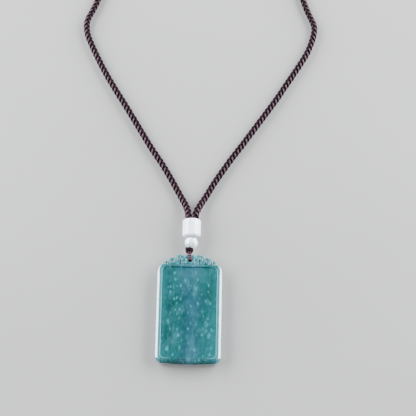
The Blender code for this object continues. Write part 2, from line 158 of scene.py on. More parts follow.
# Beads, with their places and outer sizes from the frame
barrel_low, barrel_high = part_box("barrel_bead")
round_low, round_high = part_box("round_bead")
BARREL_MIDDLE = (barrel_low + barrel_high) / 2
BARREL_RADIUS = (barrel_high.x - barrel_low.x) / 2
BARREL_HALF_LENGTH = (barrel_high.y - barrel_low.y) / 2
BARREL_ROUNDING = 0.0013
BARREL_BORE_RADIUS = 0.0015
BARREL_DISH_RADIUS = 0.0027
ROUND_RADIUS = (round_high.x - round_low.x) / 2
ROUND_MIDDLE = (round_low + round_high) / 2
ROUND_BORE_RADIUS = 0.0009
ROUND_MOUTH_RADIUS = 0.0013

# Thread: the lay is the length in which a ply, or a cord's strand, goes once round, and a step is
# the distance between the points of a path
THREAD_DIAMETER = 0.0009
THREAD_LAY = 0.0024
THREAD_STEP = 0.0002
PLY_SHARE = 0.56
LOOP_THREAD_DIAMETER = 0.00082
LOOP_BEND = 0.00045
LOOP_CLEARANCE = 0.00003
LOOP_STEP = 0.00012

# Knots: the small knot's lift and its place forward, into the mouth of the round bead, then the
# knots' path, which goes up and down to a latitude in degrees and weaves in and out by a share
KNOT_LIFT = 0.0007
KNOT_FORWARD = 0.00085
KNOT_RADII = (0.00154, 0.00152, 0.00165)
KNOT_CORE_SHARE = 0.45
KNOT_STRANDS = 3
KNOT_LOOPS = 5
KNOT_LATITUDE = 74
KNOT_WEAVE = 0.13
KNOT_STEPS = 260
KNOT_UP = (0.3, 0.2, 1)
END_KNOT_THREAD = 0.0012

# Cords: the declared diameter, and the one over the strands' crossings, with the lift that sets it
# on the floor. The crossings lie in a column along the top. A cord narrows to its tip in the barrel
# bead and swells beside the bead. The fibre offset gives each strand streaks of its own.
BRAID_DIAMETER = 0.0034
BRAID_LIFT = 0.0003
CORD_LAY = 0.0091
CORD_STEP = 0.00045
COLUMN_UP = math.pi / 2
STRAND_WIDTH_SHARE = 0.34
STRAND_THICKNESS_SHARE = 0.26
STRAND_SWING_SHARE = 0.075
CORD_TIP_SHARE = 0.50
CORD_TIP_LENGTH = 0.0010
CORD_TIP_GAP = 0.0001
CORD_SWELL = 0.14
CORD_SWELL_LENGTH = 0.014
FIBRE_OFFSET = 3

# Sliding knot: the close turns round both cords, which run this far to the sides of its middle
WRAP_DIAMETER = 0.0010
WRAP_TURNS = 15
WRAP_STEP = 0.0003
LANE_OFFSET = 0.00155

# Colours of the braid and the threads, from the painted shade in the gaps between strands to the strands'
# tops
CORD_DEPTHS = (0.66, 0.86, 0.99)
BRAID_COLOURS = ((0.0002, 0.0, 0.0001), (0.0050, 0.0016, 0.0032), (0.095, 0.050, 0.066))
THREAD_COLOURS = ((0.0004, 0.0001, 0.0003), (0.0065, 0.0022, 0.0040), (0.040, 0.018, 0.026))
LOOP_COLOURS = ((0.010, 0.003, 0.005), (0.065, 0.026, 0.042), (0.17, 0.085, 0.120))

# The jade's own colours, at three stops along its clouds
STONE_STOPS = (0.34, 0.54, 0.72)
GREEN_STONE = ((0.0030, 0.029, 0.0275), (0.0050, 0.044, 0.0455), (0.0085, 0.060, 0.065))
BLUE_STONE = ((0.0062, 0.0305, 0.041), (0.0105, 0.044, 0.059), (0.018, 0.063, 0.083))
CLOUD_COLOUR = (0.026, 0.098, 0.112)
GRAIN_COLOUR = (0.035, 0.11, 0.12)
FLECK_COLOUR = (0.065, 0.31, 0.36)
# The bluer stream down the middle: how sharply it ends, how far it wanders, and its place
STREAM_SHARPNESS = 95.0
STREAM_WANDER = 1.5
STREAM_SHIFT = -0.85
# Flecks: (cells in a metre, size as a share of a cell, least shade of a cell with one, strength)
FLECKS = ((330, 0.36, 0.52, 0.28), (620, 0.38, 0.38, 0.38))
SPARKLES = (1000, 0.42, 0.42, 0.62)
SPECK_BEND = 0.25
SPECK_BEND_WAVES = 2.2
SPECK_SHADE_BLEND = 0.18

# Tints over the stone, each with its share: the edge glow, crest glow, slope and rim tints are painted
# light, the cut tint painted shade
PAINTED_EDGE_GLOW_TINT = (0.46, (0.014, 0.100, 0.112))
CREST_GLOW_TINT = (0.28, (0.018, 0.132, 0.145))
SPARKLE_TINT = (1.0, (0.34, 0.74, 0.78))
FRAME_TINT = (0.45, (0.050, 0.180, 0.200))
SLOPE_HIGHLIGHT_TINT = (1.0, (0.075, 0.240, 0.260))
RIM_HIGHLIGHT_TINT = (0.24, (0.050, 0.280, 0.300))
CUT_SHADE_TINT = (0.90, (0.001, 0.018, 0.021))

# Where one finish of the jade starts, and the distance over which it passes into the next
GLOW_START = 0.0095
SIDE_SLOPE_START = 0.008
HEIGHT_BLEND = 0.00004
FIELD_MARGIN = 0.0006
FIELD_MARGIN_START = 0.0004
FRAME_BLEND = 0.0004
FOOT_BLEND = 0.0008
CREST_BLEND = 0.0012

# The jade's full gloss, and how much of it each zone of the plaque loses. The flat field loses all
# its coat, so that the panels don't show in it as one white sheet from the sides.
JADE_SPECULAR = 0.60
JADE_COAT = 1.0
SPECULAR_LOSS = {"near_crest": 0.40, "slope": 0.45, "foot_slope": 0.10, "flat_field": 0.59}
COAT_LOSS = {"near_crest": 0.85, "slope": 0.90, "foot_slope": 0.08, "flat_field": 1.0}

# The neck cords' routes from the barrel bead, as in part.py
LEFT_ROUTE = (
    (-0.00116, 0.0437, 0.00435),
    (-0.0013, 0.0457, 0.0041),
    (-0.0019, 0.0483, 0.0033),
    (-0.0031, 0.0513, 0.0023),
    (-0.0048, 0.0544, 0.0016),
    (-0.0066, 0.0577, 0.0014),
    (-0.0107, 0.0649, 0.0014),
    (-0.0151, 0.0720, 0.0014),
    (-0.0200, 0.0792, 0.0014),
    (-0.0247, 0.0867, 0.0014),
    (-0.0295, 0.0945, 0.0014),
    (-0.0341, 0.1019, 0.0014),
    (-0.0388, 0.1092, 0.0014),
    (-0.0435, 0.1170, 0.0014),
    (-0.0473, 0.1240, 0.0014),
    (-0.0507, 0.1309, 0.0014),
    (-0.0534, 0.1372, 0.0014),
    (-0.0543, 0.1425, 0.0014),
    (-0.0537, 0.1462, 0.0014),
    (-0.0520, 0.1500, 0.0014),
    (-0.0499, 0.1548, 0.0014),
    (-0.0480, 0.1608, 0.0014),
    (-0.0466, 0.1678, 0.0014),
    (-0.0456, 0.1754, 0.0014),
    (-0.0446, 0.1834, 0.0014),
    (-0.0430, 0.1918, 0.0014),
    (-0.0403, 0.2006, 0.0014),
    (-0.0363, 0.2092, 0.0014),
    (-0.0311, 0.2172, 0.0014),
    (-0.0249, 0.2244, 0.0015),
    (-0.0184, 0.2307, 0.0018),
    (-0.0122, 0.2352, 0.0023),
    (-0.0060, 0.2373, 0.0028),
    (0.0026, 0.2373, 0.0028),
    (0.0112, 0.2373, 0.0028),
    (0.0165, 0.2356, 0.0023),
    (0.0210, 0.2324, 0.0018),
    (0.0246, 0.2283, 0.0017),
    (0.0273, 0.2235, 0.0019),
    (0.0288, 0.2182, 0.0021),
)
RIGHT_ROUTE = (
    (0.00196, 0.0437, 0.00435),
    (0.0021, 0.0457, 0.0041),
    (0.0029, 0.0483, 0.0033),
    (0.0045, 0.0514, 0.0023),
    (0.0064, 0.0547, 0.0016),
    (0.0110, 0.0628, 0.0014),
    (0.0148, 0.0687, 0.0014),
    (0.0192, 0.0753, 0.0014),
    (0.0234, 0.0811, 0.0014),
    (0.0280, 0.0877, 0.0014),
    (0.0367, 0.1003, 0.0014),
    (0.0410, 0.1067, 0.0014),
    (0.0450, 0.1131, 0.0014),
    (0.0489, 0.1193, 0.0014),
    (0.0526, 0.1253, 0.0014),
    (0.0558, 0.1312, 0.0014),
    (0.0581, 0.1376, 0.0014),
    (0.0590, 0.1425, 0.0014),
    (0.0585, 0.1460, 0.0014),
    (0.0567, 0.1500, 0.0014),
    (0.0547, 0.1548, 0.0014),
    (0.0528, 0.1610, 0.0014),
    (0.0515, 0.1680, 0.0014),
    (0.0505, 0.1757, 0.0014),
    (0.0495, 0.1838, 0.0014),
    (0.0479, 0.1924, 0.0014),
    (0.0453, 0.2014, 0.0014),
    (0.0415, 0.2103, 0.0014),
    (0.0364, 0.2188, 0.0014),
    (0.0310, 0.2268, 0.0015),
    (0.0253, 0.2338, 0.0018),
    (0.0185, 0.2388, 0.0023),
    (0.0112, 0.2404, 0.0028),
    (0.0026, 0.2404, 0.0028),
    (-0.0060, 0.2404, 0.0028),
    (-0.0122, 0.2412, 0.0022),
    (-0.0182, 0.2411, 0.0017),
    (-0.0240, 0.2395, 0.0017),
    (-0.0293, 0.2366, 0.0019),
    (-0.0338, 0.2326, 0.0021),
)


# Mesh helpers


def link(name, data):
    """A new object of the scene, made of this mesh, camera or light."""
    obj = bpy.data.objects.new(name, data)
    bpy.context.scene.collection.objects.link(obj)
    return obj


def new_object(name, vertices, faces, smooth_angle=None):
    """A mesh object, shaded smooth, with edges sharper than smooth_angle degrees kept crisp."""
    mesh = bpy.data.meshes.new(name)
    mesh.from_pydata([tuple(v) for v in vertices], [], faces)
    mesh.polygons.foreach_set("use_smooth", [True] * len(mesh.polygons))
    if smooth_angle is not None:
        mesh.set_sharp_from_angle(angle=math.radians(smooth_angle))
    mesh.update()
    return link(name, mesh)


def dressed(obj, node, material):
    """The object with its material, in the place of its node of the frame."""
    obj.data.materials.clear()
    obj.data.materials.append(material)
    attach(obj, "root")
    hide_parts(node)
    return obj


def loft(name, rings, hollow=False, smooth_angle=None):
    """A solid through rings of as many points each; a hollow one joins its last ring to its first."""
    count = len(rings[0])
    vertices = [point for ring in rings for point in ring]
    pairs = list(zip(range(len(rings)), range(1, len(rings))))
    faces = []
    if hollow:
        pairs.append((len(rings) - 1, 0))
    else:
        faces.append(tuple(reversed(range(count))))
        faces.append(tuple(range(len(vertices) - count, len(vertices))))
    for low, high in pairs:
        for i in range(count):
            j = (i + 1) % count
            faces.append((low * count + i, low * count + j, high * count + j, high * count + i))
    return new_object(name, vertices, faces, smooth_angle)


def arc(centre, radii, start, end, steps):
    """Points of an elliptical arc, its two ends included, with angles in degrees."""
    points = []
    for i in range(steps + 1):
        angle = math.radians(start + (end - start) * i / steps)
        points.append((centre[0] + radii[0] * math.cos(angle), centre[1] + radii[1] * math.sin(angle)))
    return points


def mirrored(points):
    """The same points on the other side of the plaque's middle line, in reverse order."""
    return [(-x, y) for x, y in reversed(points)]


def turns(count):
    """Angles round a circle, evenly spaced."""
    return [math.tau * i / count for i in range(count)]


def ease(share):
    """A smooth step from 0 to 1."""
    share = min(1.0, max(0.0, share))
    return share * share * (3 - 2 * share)


def smooth_route(points, step):
    """Points a step apart on the smooth curve (Catmull-Rom) through the route's own points."""
    route = [Vector(point) for point in points]
    route = [2 * route[0] - route[1]] + route + [2 * route[-1] - route[-2]]
    fine = []
    divisions = 24
    for a, b, c, d in zip(route, route[1:], route[2:], route[3:]):
        for i in range(divisions):
            t = i / divisions
            square = 2 * a - 5 * b + 4 * c - d
            cube = 3 * b - a - 3 * c + d
            fine.append((2 * b + (c - a) * t + square * t**2 + cube * t**3) / 2)
    fine.append(route[-2])
    fine = np.array(fine)
    lengths = np.concatenate(([0.0], np.cumsum(np.linalg.norm(np.diff(fine, axis=0), axis=1))))
    places = np.linspace(0, lengths[-1], max(2, round(lengths[-1] / step)) + 1)
    return np.stack([np.interp(places, lengths, fine[:, axis]) for axis in range(3)], axis=1)


def length_of(path):
    """The length of a path through its points."""
    return float(np.linalg.norm(np.diff(path, axis=0), axis=1).sum())


def unit(vectors):
    """The vectors, each at length 1."""
    return vectors / np.linalg.norm(vectors, axis=1)[:, None]


def frames_along(path, up):
    """Unit vectors to the path's side and up from it; up is carried along without twist."""
    sides = []
    ups = []
    up = np.array(up, float)
    for direction in unit(np.gradient(path, axis=0)):
        up = up - direction * (up @ direction)
        up /= np.linalg.norm(up)
        ups.append(up)
        sides.append(np.cross(direction, up))
    return np.array(sides), np.array(ups)


def rope(path, strands, lay, section, sides=7, up=(0, 0, 1), tip=None):
    """Strands laid round a path. Each is (turning way, start angle, radius, swing): its radius swings
    twice a turn, which takes it over and under the strands that turn the other way. The section is a
    strand's width and thickness. A tip is the share of the full size that the rope starts with and
    the length over which it grows to the full size. Gives vertices, faces, each vertex's place
    among the fibres and its height from the gaps to the strands' tops."""
    path = np.array(path)
    steps = np.linalg.norm(np.diff(path, axis=0), axis=1)
    gone = np.concatenate(([0.0], np.cumsum(steps)))
    scale = np.ones(len(path))
    if tip:
        tip_share, tip_length = tip
        scale = tip_share + (1 - tip_share) * np.clip(gone / tip_length, 0, 1)
        scale *= 1 + CORD_SWELL * np.clip(1 - gone / CORD_SWELL_LENGTH, 0, 1)
    side, above = frames_along(path, up)
    width, thickness = section
    vertices = []
    faces = []
    fibres = []
    heights = []
    count = len(path)
    rounds = [(math.cos(angle), math.sin(angle)) for angle in turns(sides)]
    for number, (way, start, radius, swing) in enumerate(strands):
        angle = way * math.tau * gone / lay + start
        out = np.cos(angle)[:, None] * side + np.sin(angle)[:, None] * above
        reach = (radius + swing * np.cos(2 * (angle - COLUMN_UP) + math.pi / 2)) * scale
        middle = path + out * reach[:, None]
        forward = unit(np.gradient(middle, axis=0))
        across = unit(np.cross(forward, out))
        outward = np.cross(across, forward)
        first = len(vertices)
        low = radius - abs(swing) - thickness / 2
        high = radius + abs(swing) + thickness / 2
        for i in range(count):
            for round_across, round_out in rounds:
                wide = round_across * width / 2
                thick = round_out * thickness / 2
                vertices.append(middle[i] + (across[i] * wide + outward[i] * thick) * scale[i])
                fibres.append((gone[i] / width, round_across + FIBRE_OFFSET * number, round_out))
                heights.append((reach[i] / scale[i] + thick - low) / (high - low))
        for i in range(count - 1):
            for k in range(sides):
                a = first + i * sides + k
                b = first + i * sides + (k + 1) % sides
                faces.append((a, b, b + sides, a + sides))
        faces.append(tuple(first + k for k in reversed(range(sides))))
        faces.append(tuple(first + (count - 1) * sides + k for k in range(sides)))
    return vertices, faces, fibres, heights


def rope_piece(name, ropes, node, material):
    """One piece of the scene made of one or more ropes, set in the place of its node of the frame."""
    vertices = []
    faces = []
    fibres = []
    heights = []
    for more_vertices, more_faces, more_fibres, more_heights in ropes:
        first = len(vertices)
        vertices += more_vertices
        faces += [tuple(first + corner for corner in face) for face in more_faces]
        fibres += more_fibres
        heights += more_heights
    obj = new_object(name, vertices, faces)
    fibre = obj.data.attributes.new("fibre", "FLOAT_VECTOR", "POINT")
    fibre.data.foreach_set("vector", np.array(fibres).ravel())
    height = obj.data.attributes.new("height", "FLOAT", "POINT")
    height.data.foreach_set("value", np.array(heights))
    return dressed(obj, node, material)


# Cord, threads and knots


def braid_strands(diameter):
    """The eight strands of a round braid, and one strand's width and thickness."""
    thickness = STRAND_THICKNESS_SHARE * diameter
    swing = STRAND_SWING_SHARE * diameter
    radius = diameter / 2 - swing - thickness / 2
    strands = []
    for k in range(4):
        start = math.pi / 8 + k * math.pi / 2
        strands.append((1, start, radius, swing))
        strands.append((-1, start, radius, -swing))
    return strands, (STRAND_WIDTH_SHARE * diameter, thickness)


def thread_rope(path, diameter, sides=7, up=(0, 0, 1)):
    """A thread of two twisted plies."""
    ply = PLY_SHARE * diameter
    radius = (diameter - ply) / 2
    strands = [(1, 0.0, radius, 0.0), (1, math.pi, radius, 0.0)]
    return rope(path, strands, THREAD_LAY, (ply, ply), sides, up)


def make_cord(side, route, material):
    """One side of the neck cord and its path. It narrows to its tip, which is inside the barrel bead."""
    lane = -1 if route[0][0] < BARREL_MIDDLE.x else 1
    tip_radius = BRAID_DIAMETER * CORD_TIP_SHARE / 2
    thread_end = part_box("bead_thread")[1].y
    inside = (BARREL_MIDDLE.x + lane * tip_radius, thread_end + CORD_TIP_GAP, BARREL_MIDDLE.z)
    laid = tuple((x, y, z + BRAID_LIFT) for x, y, z in route)
    path = smooth_route((inside,) + laid, CORD_STEP)
    strands, section = braid_strands(BRAID_DIAMETER)
    braid = rope(path, strands, CORD_LAY, section, tip=(CORD_TIP_SHARE, CORD_TIP_LENGTH))
    node = f"necklace_cord_{side}"
    return rope_piece(f"braided_cord_{side}", [braid], node, material), path


def knot_path(centre, radii):
    """A closed three-strand, five-loop knot laid over an ellipsoid whose axis is along Y."""
    points = []
    for i in range(KNOT_STEPS + 1):
        t = math.tau * i / KNOT_STEPS
        around = KNOT_STRANDS * t
        up = math.radians(KNOT_LATITUDE) * math.sin(KNOT_LOOPS * t)
        reach = 1 - KNOT_WEAVE * math.sin(2 * KNOT_LOOPS * t)
        x = centre[0] + radii[0] * reach * math.cos(up) * math.cos(around)
        y = centre[1] + radii[1] * reach * math.sin(up)
        z = centre[2] + radii[2] * reach * math.cos(up) * math.sin(around)
        points.append((x, y, z))
    return points


def knot_ropes(centre, radii, diameter):
    """A knot's thread, and a smaller knot inside it that fills it."""
    core_radii = [radius * KNOT_CORE_SHARE for radius in radii]
    return [thread_rope(knot_path(centre, reach), diameter, up=KNOT_UP) for reach in (radii, core_radii)]


def make_pendant_knot(material):
    """The small knot between the round bead and the crest."""
    low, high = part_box("pendant_knot")
    middle = (low + high) / 2
    centre = (middle.x, middle.y + KNOT_FORWARD, middle.z + KNOT_LIFT)
    ropes = knot_ropes(centre, KNOT_RADII, THREAD_DIAMETER)
    return rope_piece("pendant_knot_wrap", ropes, "pendant_knot", material)


def make_end_knot(side, material):
    """The stop knot on the end of one cord."""
    low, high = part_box(f"end_knot_{side}")
    radius = (high.z - low.z - END_KNOT_THREAD) / 2
    ropes = knot_ropes((low + high) / 2, (radius,) * 3, END_KNOT_THREAD)
    return rope_piece(f"end_knot_{side}_wrap", ropes, f"end_knot_{side}", material)


def make_hanging_loop(material):
    """Two turns of thread side by side: over the crest, down through its hole and back under it."""
    low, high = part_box("hanging_loop")
    knot_low, knot_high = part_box("pendant_knot")
    knot_x = (knot_low.x + knot_high.x) / 2
    away_from_crest = (MIDDLE_LOBE_THICKNESS + LOOP_THREAD_DIAMETER) / 2 + LOOP_CLEARANCE
    over = CREST_MIDDLE + away_from_crest
    under = CREST_MIDDLE - away_from_crest
    down = HOLE_Y + (HOLE_DIAMETER - LOOP_THREAD_DIAMETER) / 2 - LOOP_CLEARANCE
    bends = (LOOP_BEND, LOOP_BEND)
    line = [(high.y, over)]
    line += arc((down + LOOP_BEND, over - LOOP_BEND), bends, 90, 180, steps=8)
    line += arc((down + LOOP_BEND, under + LOOP_BEND), bends, 180, 270, steps=8)
    line += [(high.y, under)]
    ropes = []
    for lane in (-1, 1):
        route = []
        for y, z in line:
            away = (y - HOLE_Y) / (high.y - HOLE_Y)
            route.append((knot_x * away + lane * LOOP_THREAD_DIAMETER / 2, y, z))
        path = smooth_route(route, LOOP_STEP)
        ropes.append(thread_rope(path, LOOP_THREAD_DIAMETER, sides=8, up=(1, 0, 0)))
    return rope_piece("hanging_loop_threads", ropes, "hanging_loop", material)


def make_bead_thread(material):
    """The straight thread through both beads."""
    low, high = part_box("bead_thread")
    x = (low.x + high.x) / 2
    z = (low.z + high.z) / 2
    path = smooth_route([(x, low.y, z), (x, high.y, z)], THREAD_STEP)
    twist = thread_rope(path, THREAD_DIAMETER, sides=8)
    return rope_piece("bead_thread_twist", [twist], "bead_thread", material)


def make_sliding_knot(material):
    """Close turns of thread round both cords."""
    low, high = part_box("sliding_knot")
    middle = (low + high) / 2
    radius = (high.z - low.z - WRAP_DIAMETER) / 2
    half = (high.x - low.x - WRAP_DIAMETER) / 2
    turn_line = arc((LANE_OFFSET, 0), (radius, radius), -90, 90, steps=16)
    turn_line += arc((-LANE_OFFSET, 0), (radius, radius), 90, 270, steps=16)
    route = []
    for turn in range(WRAP_TURNS):
        for i, (across, up) in enumerate(turn_line):
            share = (turn + i / len(turn_line)) / WRAP_TURNS
            route.append((middle.x - half + 2 * half * share, middle.y + across, middle.z + up))
    wraps = thread_rope(smooth_route(route, WRAP_STEP), WRAP_DIAMETER, up=(1, 0, 0))
    return rope_piece("sliding_knot_wraps", [wraps], "sliding_knot", material)


# Materials


class Nodes:
    """A small helper that adds nodes to one material and links them. A value that it's given is a
    constant or another node's output."""

    def __init__(self, name):
        self.material = bpy.data.materials.new(name)
        self.material.use_nodes = True
        self.tree = self.material.node_tree
        self.shader = self.tree.nodes["Principled BSDF"]

    def give(self, socket, value):
        """Link an output to the socket, or set a constant on it."""
        if isinstance(value, bpy.types.NodeSocket):
            self.tree.links.new(value, socket)
        else:
            socket.default_value = value

    def add(self, kind, values=None, **settings):
        """A new node with its settings, and values by the names of its inputs."""
        node = self.tree.nodes.new(kind)
        for key, value in settings.items():
            setattr(node, key, value)
        for key, value in (values or {}).items():
            self.give(node.inputs[key], value)
        return node

    def set(self, **values):
        """Give values to the shader, by the names of its inputs."""
        for key, value in values.items():
            self.give(self.shader.inputs[key.replace("_", " ")], value)

    def place(self):
        """The place on the object, in metres."""
        return self.add("ShaderNodeTexCoord").outputs["Object"]

    def attribute(self, name, output="Fac"):
        """One of the mesh's own attributes."""
        return self.add("ShaderNodeAttribute", attribute_name=name).outputs[output]

    def stretched(self, vector, scale):
        """The vector scaled along each axis, so that a pattern on it is longest where it's least."""
        return self.add("ShaderNodeMapping", {"Vector": vector, "Scale": scale}).outputs["Vector"]

    def ramp(self, source, stops, interpolation="LINEAR"):
        """A colour ramp through (place, colour) stops."""
        node = self.add("ShaderNodeValToRGB", {"Fac": source})
        node.color_ramp.interpolation = interpolation
        elements = node.color_ramp.elements
        while len(elements) < len(stops):
            elements.new(0.5)
        for element, (place, colour) in zip(elements, stops):
            element.position = place
            element.color = (*colour, 1.0)
        return node.outputs["Color"]

    def grey_ramp(self, source, start, end, interpolation="LINEAR"):
        """A grey ramp between two (place, level) stops."""
        stops = [(place, (level, level, level)) for place, level in (start, end)]
        return self.ramp(source, stops, interpolation)

    def mix(self, share, a, b, blend="MIX"):
        """Colour a turned into colour b by the share."""
        node = self.add("ShaderNodeMix", data_type="RGBA", blend_type=blend)
        for index, value in ((0, share), (6, a), (7, b)):
            self.give(node.inputs[index], (*value, 1.0) if isinstance(value, tuple) else value)
        return node.outputs[2]

    def noise(self, vector, scale, detail=3.0, roughness=0.5, distortion=0.0):
        """Soft noise from 0 to 1, with this many waves in a metre of the vector."""
        values = {"Vector": vector, "Scale": scale, "Detail": detail}
        values |= {"Roughness": roughness, "Distortion": distortion}
        return self.add("ShaderNodeTexNoise", values).outputs["Fac"]

    def joined(self, operation, values):
        """The values joined by an operation of the Math node, from the first to the last."""
        total = values[0]
        for value in values[1:]:
            total = self.add("ShaderNodeMath", {0: total, 1: value}, operation=operation).outputs[0]
        return total

    def times(self, *values):
        """The product of the values."""
        return self.joined("MULTIPLY", values)

    def sum(self, *values):
        """The sum of the values."""
        return self.joined("ADD", values)

    def absolute(self, value):
        """The value without its sign."""
        return self.add("ShaderNodeMath", {0: value}, operation="ABSOLUTE").outputs[0]

    def range(self, value, low, high):
        """From 0 at low to 1 at high, eased at both ends."""
        settings = {"Value": value, "From Min": low, "From Max": high}
        return self.add("ShaderNodeMapRange", settings, interpolation_type="SMOOTHSTEP").outputs["Result"]

    def vector(self, operation, values):
        """The output of one Vector Math node."""
        return self.add("ShaderNodeVectorMath", values, operation=operation).outputs[0]

    def moved(self, place, noise, amount):
        """The place moved about by the noise's colour, by this much at most."""
        middle = self.vector("SUBTRACT", {0: noise, 1: (0.5, 0.5, 0.5)})
        scaled = self.vector("SCALE", {0: middle, "Scale": amount * 2})
        return self.vector("ADD", {0: place, 1: scaled})

    def specks(self, place, scale, size, least, strength):
        """Soft specks in cells of random shade, in those with at least this shade and fully in those
        a little above it. Their outlines are bent by a finer noise."""
        waves = self.add("ShaderNodeTexNoise", {"Vector": place, "Scale": scale * SPECK_BEND_WAVES})
        bent = self.moved(place, waves.outputs["Color"], SPECK_BEND / scale)
        cells = self.add("ShaderNodeTexVoronoi", {"Vector": bent, "Scale": scale, "Randomness": 0.9})
        spot = self.grey_ramp(cells.outputs["Distance"], (0.0, 1), (size, 0), "EASE")
        full = min(1.0, least + SPECK_SHADE_BLEND)
        chosen = self.grey_ramp(cells.outputs["Color"], (least, 0), (full, strength))
        return self.mix(1.0, spot, chosen, "MULTIPLY")

    def bump(self, height, strength, distance):
        """Unevenness of the surface, as a normal."""
        node = self.add("ShaderNodeBump", {"Height": height, "Strength": strength, "Distance": distance})
        return node.outputs["Normal"]


def stone_colour(n, place, x):
    """The jade's own colour, with its stream, clouds, grain and flecks. Also gives its patches."""
    drift = n.noise(place, 110, detail=2)
    long_way = n.stretched(place, (1.0, 0.55, 1.0))
    clouds = n.noise(long_way, 95, distortion=0.7)
    patches = n.noise(long_way, 230, roughness=0.55, distortion=0.5)
    grain = n.noise(long_way, 900, detail=2)
    warped = n.sum(n.times(x, STREAM_SHARPNESS), n.times(drift, STREAM_WANDER), STREAM_SHIFT)
    stream = n.grey_ramp(n.absolute(warped), (0.15, 1), (0.75, 0), "EASE")
    green, blue = (n.ramp(clouds, list(zip(STONE_STOPS, stone))) for stone in (GREEN_STONE, BLUE_STONE))
    colour = n.mix(stream, green, blue)
    colour = n.mix(n.grey_ramp(patches, (0.45, 0), (0.80, 0.55), "EASE"), colour, CLOUD_COLOUR)
    colour = n.mix(n.grey_ramp(grain, (0.45, 0), (0.75, 0.24)), colour, GRAIN_COLOUR)
    for kind in FLECKS:
        colour = n.mix(n.specks(long_way, *kind), colour, FLECK_COLOUR)
    return colour, patches


def plaque_zones(n, out, y, z):
    """How far a place is in each zone of the plaque, as a share. The slope is the one round the field."""
    below_rim = n.range(z, THICKNESS, THICKNESS - HEIGHT_BLEND)
    above_field = n.range(z, FIELD_LEVEL, FIELD_LEVEL + HEIGHT_BLEND)
    not_above = n.range(z, FIELD_LEVEL + HEIGHT_BLEND, FIELD_LEVEL)
    in_front = n.range(z, 0.0, THICKNESS / 2)
    within_field = n.times(
        n.range(out, FIELD_SIDE + FIELD_MARGIN, FIELD_SIDE + FIELD_MARGIN_START),
        n.range(y, FIELD_TOP + FIELD_MARGIN, FIELD_TOP + FIELD_MARGIN_START),
        n.range(y, FIELD_FOOT - FIELD_MARGIN, FIELD_FOOT - FIELD_MARGIN_START),
    )
    slope = n.times(below_rim, above_field, within_field)
    return {
        "long_edges": n.range(out, GLOW_START, HALF_WIDTH - EDGE_WIDTH),
        "near_crest": n.range(y, FIELD_TOP - FIELD_MARGIN, SHOULDER_LINE),
        "crest": n.range(y, SHOULDER_LINE, SHOULDER_LINE + CREST_BLEND),
        "frame": n.range(out, FIELD_SIDE, FIELD_SIDE + FRAME_BLEND),
        "slope": slope,
        "side_slope_highlight": n.times(slope, n.range(out, SIDE_SLOPE_START, FIELD_SIDE)),
        "foot_slope": n.times(slope, n.range(y, FIELD_FOOT + FOOT_BLEND, FIELD_FOOT)),
        "flat_field": n.times(not_above, in_front, within_field),
    }


def less(n, full, losses, zones):
    """The full value less each zone's loss."""
    return n.sum(*(n.times(zones[zone], -loss) for zone, loss in losses.items()), full)


def jade_material():
    """Cloudy blue-green jade, tinted and made less glossy by the zones of the plaque; among the tints are
    painted glow, highlights and shade.
    """
    n = Nodes("blue_green_jade")
    place = n.place()
    axes = n.add("ShaderNodeSeparateXYZ", {"Vector": place}).outputs
    colour, patches = stone_colour(n, place, axes["X"])
    zones = plaque_zones(n, n.absolute(axes["X"]), axes["Y"], axes["Z"])
    # The carved share: painted shade above 0, in the cuts; painted highlight below 0, on the lobes' rims
    carved = n.attribute("carved")
    for share, (strength, tint) in (
        # Painted glow: the stone lighter towards the long edges, as if lit through
        (zones["long_edges"], PAINTED_EDGE_GLOW_TINT),
        # Painted glow: the thin crest lighter, as if lit through
        (zones["crest"], CREST_GLOW_TINT),
        (n.times(n.specks(place, *SPARKLES), zones["crest"]), SPARKLE_TINT),
        (zones["frame"], FRAME_TINT),
        # Painted highlight: a bright cyan line on the field's side slopes
        (zones["side_slope_highlight"], SLOPE_HIGHLIGHT_TINT),
        # Painted highlight on a band just inside each lobe's rim
        (n.range(carved, 0.0, -1.0), RIM_HIGHLIGHT_TINT),
        # Painted shade in the spirals, the seams between lobes and the hole's mouth
        (n.range(carved, 0.0, 1.0), CUT_SHADE_TINT),
    ):
        colour = n.mix(n.times(share, strength), colour, tint)
    n.set(
        Base_Color=colour,
        Roughness=0.13,
        IOR=1.66,
        Specular_Tint=(0.86, 0.97, 1.0, 1.0),
        Subsurface_Weight=0.25,
        Subsurface_Radius=(0.5, 1.0, 1.0),
        Subsurface_Scale=0.0012,
        Specular_IOR_Level=less(n, JADE_SPECULAR, SPECULAR_LOSS, zones),
        Coat_Weight=less(n, JADE_COAT, COAT_LOSS, zones),
        Coat_IOR=1.8,
        Coat_Roughness=0.06,
        Normal=n.bump(patches, strength=0.08, distance=0.0002),
    )
    return n.material


def finish_bead(n, clouds, stops, roughness, depth, unevenness, clear=0.0):
    """Polished cloudy stone for a bead. The depth is how far light spreads in it."""
    n.set(
        Base_Color=n.ramp(clouds, stops),
        Roughness=roughness,
        IOR=1.6,
        Transmission_Weight=clear,
        Subsurface_Weight=0.4,
        Subsurface_Radius=(1.0, 1.0, 1.0),
        Subsurface_Scale=depth,
        Coat_Weight=0.3,
        Coat_Roughness=0.03,
        Normal=n.bump(clouds, unevenness, distance=0.0001),
    )
    return n.material


def white_jade_material():
    """Near-white jade, with faint clouds along the bead."""
    n = Nodes("white_jade")
    clouds = n.noise(n.stretched(n.place(), (1.0, 0.12, 1.0)), 420, distortion=0.3)
    stops = ((0.35, (0.60, 0.59, 0.69)), (0.65, (0.77, 0.77, 0.85)))
    return finish_bead(n, clouds, stops, roughness=0.12, depth=0.0010, unevenness=0.06)


def pale_jade_material():
    """Pale green-white jade that lets some light through, with strong small clouds."""
    n = Nodes("pale_jade")
    clouds = n.noise(n.place(), 1000, roughness=0.6, distortion=0.8)
    stops = ((0.40, (0.28, 0.40, 0.41)), (0.58, (0.88, 0.91, 0.95)))
    return finish_bead(n, clouds, stops, roughness=0.10, depth=0.0012, unevenness=0.08, clear=0.25)


